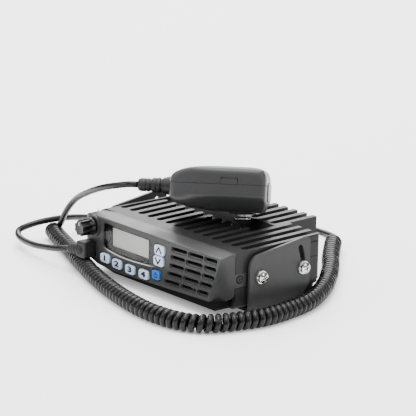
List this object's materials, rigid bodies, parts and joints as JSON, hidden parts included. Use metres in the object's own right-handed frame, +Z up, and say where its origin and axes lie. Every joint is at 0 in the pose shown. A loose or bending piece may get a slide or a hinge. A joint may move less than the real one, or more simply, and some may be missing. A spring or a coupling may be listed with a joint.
{
  "type": "mobile two-way radio",
  "caption": "Compact vehicle two-way radio with finned casting, display front, tilting U bracket and a hand microphone on a curly cord.",
  "frame": {"origin": "centre of the underside of the bracket's base plate, midway between its mounting holes", "axes": "+X to the radio's right seen from the front, +Y from the front panel to the back, +Z up"},
  "size_m": [0.2709, 0.2459, 0.0898],
  "materials": {
    "painted_casting": "satin black paint on a die casting",
    "painted_steel": "satin black powder coat",
    "black_screws": "black oxide",
    "panel_plastic": "fine textured black plastic",
    "display_window": "smooth glossy lens",
    "lcd": "grey liquid-crystal display",
    "circuit_board": "solder mask",
    "switch_metal": "bright",
    "bare_metal": "plated",
    "knob_plastic": "gloss black",
    "connector_plastic": "moulded black",
    "speaker_paper": "coated paper",
    "nickel": "nickel plate",
    "white_plastic": "moulded white",
    "brass": "gold plate",
    "key_plastic": "pale blue translucent plastic",
    "power_key_plastic": "blue translucent plastic",
    "chrome_bolts": "bright chrome plate",
    "washer_steel": "dark zinc",
    "mic_plastic": "fine textured dark grey plastic",
    "talk_rubber": "matte",
    "cord_rubber": "smooth moulded rubber",
    "cord_jacket": "smooth polyurethane jacket"
  },
  "bodies": {
    "radio": {"chassis": "painted_casting", "bottom_cover": "painted_steel", "cover_screws": "black_screws", "front_panel": "panel_plastic", "panel_screws": "black_screws", "display_window": "display_window", "lcd_module": "lcd", "front_board": "circuit_board", "key_switches": "switch_metal", "volume_control": "bare_metal", "mic_jack": "connector_plastic", "speaker_frame": "bare_metal", "speaker_cone": "speaker_paper", "main_board": "circuit_board", "rf_shield": "bare_metal", "power_module": "connector_plastic", "antenna_connector": "nickel", "antenna_screws": "nickel", "antenna_insulator": "white_plastic", "antenna_contact": "brass", "power_socket": "white_plastic", "speaker_jack": "connector_plastic", "bracket_bolts": "chrome_bolts", "spacer_washers": "washer_steel", "plug_boot": "cord_rubber", "plug_insert": "switch_metal", "cord_tail_radio": "cord_jacket", "cord_coil": "cord_jacket", "cord_tail_mic": "cord_jacket"},
    "bracket": {"bracket": "painted_steel"},
    "volume_knob": {"volume_knob": "knob_plastic", "volume_shaft": "bare_metal"},
    "microphone": {"mic_front_shell": "mic_plastic", "mic_rear_shell": "mic_plastic", "mic_end_panel": "mic_plastic", "talk_switch": "switch_metal", "mic_board": "circuit_board", "mic_element": "bare_metal", "hanger_button": "chrome_bolts", "hanger_screws": "chrome_bolts", "mic_case_screws": "black_screws", "mic_strain_relief": "cord_rubber"},
    "talk_button": {"talk_button": "talk_rubber"},
    "key_up": {"key_up": "key_plastic"},
    "key_down": {"key_down": "key_plastic"},
    "key_1": {"key_1": "key_plastic"},
    "key_2": {"key_2": "key_plastic"},
    "key_3": {"key_3": "key_plastic"},
    "key_4": {"key_4": "key_plastic"},
    "key_power": {"key_power": "power_key_plastic"}
  },
  "joints": [
    {"name": "bracket_tilt", "type": "hinge", "parent": "radio", "child": "bracket", "pos_m": [0, -0.0214, 0.0271], "axis": [-1, 0, 0], "range_deg": [0, 22]},
    {"name": "volume_turn", "type": "hinge", "parent": "radio", "child": "volume_knob", "pos_m": [-0.0623, -0.063, 0.0367], "axis": [0, 1, 0], "range_deg": [-150, 150]},
    {"name": "microphone_lift", "type": "slide", "parent": "radio", "child": "microphone", "axis": [0, 0, 1], "range_m": [0, 0.03]},
    {"name": "talk_press", "type": "slide", "parent": "microphone", "child": "talk_button", "axis": [0.6681, -0.6911, 0.2756], "range_m": [0, 0.0015], "stiffness_N_per_m": 700, "springref_m": -0.001},
    {"name": "key_up_press", "type": "slide", "parent": "radio", "child": "key_up", "axis": [0, 1, 0], "range_m": [0, 0.0008], "stiffness_N_per_m": 600, "springref_m": -0.0008},
    {"name": "key_down_press", "type": "slide", "parent": "radio", "child": "key_down", "axis": [0, 1, 0], "range_m": [0, 0.0008], "stiffness_N_per_m": 600, "springref_m": -0.0008},
    {"name": "key_1_press", "type": "slide", "parent": "radio", "child": "key_1", "axis": [0, 1, 0], "range_m": [0, 0.0008], "stiffness_N_per_m": 600, "springref_m": -0.0008},
    {"name": "key_2_press", "type": "slide", "parent": "radio", "child": "key_2", "axis": [0, 1, 0], "range_m": [0, 0.0008], "stiffness_N_per_m": 600, "springref_m": -0.0008},
    {"name": "key_3_press", "type": "slide", "parent": "radio", "child": "key_3", "axis": [0, 1, 0], "range_m": [0, 0.0008], "stiffness_N_per_m": 600, "springref_m": -0.0008},
    {"name": "key_4_press", "type": "slide", "parent": "radio", "child": "key_4", "axis": [0, 1, 0], "range_m": [0, 0.0008], "stiffness_N_per_m": 600, "springref_m": -0.0008},
    {"name": "key_power_press", "type": "slide", "parent": "radio", "child": "key_power", "axis": [0, 1, 0], "range_m": [0, 0.0008], "stiffness_N_per_m": 600, "springref_m": -0.0008}
  ]
}
